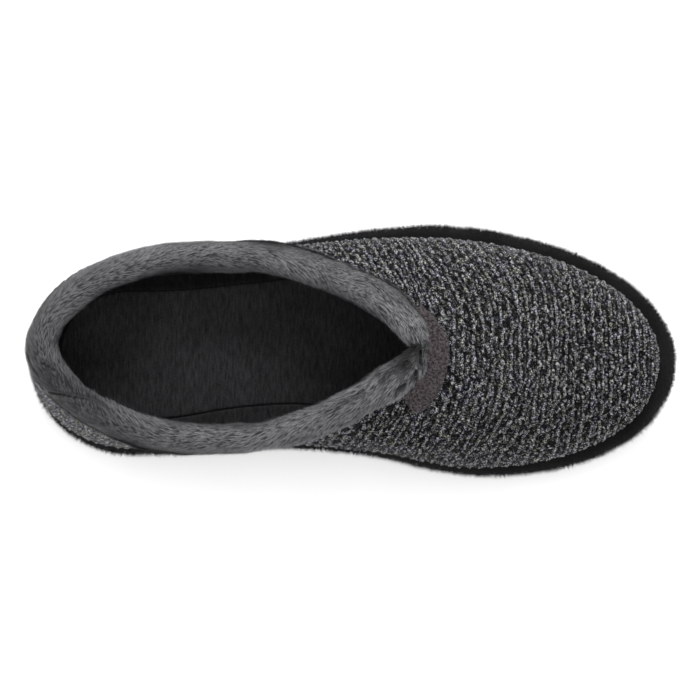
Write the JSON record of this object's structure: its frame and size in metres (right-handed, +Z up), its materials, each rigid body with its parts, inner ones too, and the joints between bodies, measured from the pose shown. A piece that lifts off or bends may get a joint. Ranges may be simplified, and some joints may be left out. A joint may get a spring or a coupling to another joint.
{
  "type": "slipper",
  "caption": "Left closed-back house slipper: ribbed knit upper, rolled plush collar round a V throat, suede crescent at the throat, soft covered platform and thin grooved rubber outsole.",
  "frame": {"origin": "on the floor below the middle of the slipper's box", "axes": "+X to the toe, +Y to the outer side of the foot, +Z up"},
  "size_m": [0.286, 0.1094, 0.0828],
  "materials": {
    "tread_rubber": "matt charcoal rubber",
    "sidewall_cloth": "brushed charcoal cloth with a short nap",
    "insole_cloth": "matt dark grey fleece",
    "knit": "chunky marbled grey knit",
    "plush": "short grey plush pile with a soft sheen",
    "suede": "brownish dark grey suede"
  },
  "bodies": {
    "root": {"outsole": "tread_rubber", "platform": "sidewall_cloth", "insole": "insole_cloth", "upper": "knit", "collar": "plush", "throat_patch": "suede"}
  },
  "joints": []
}
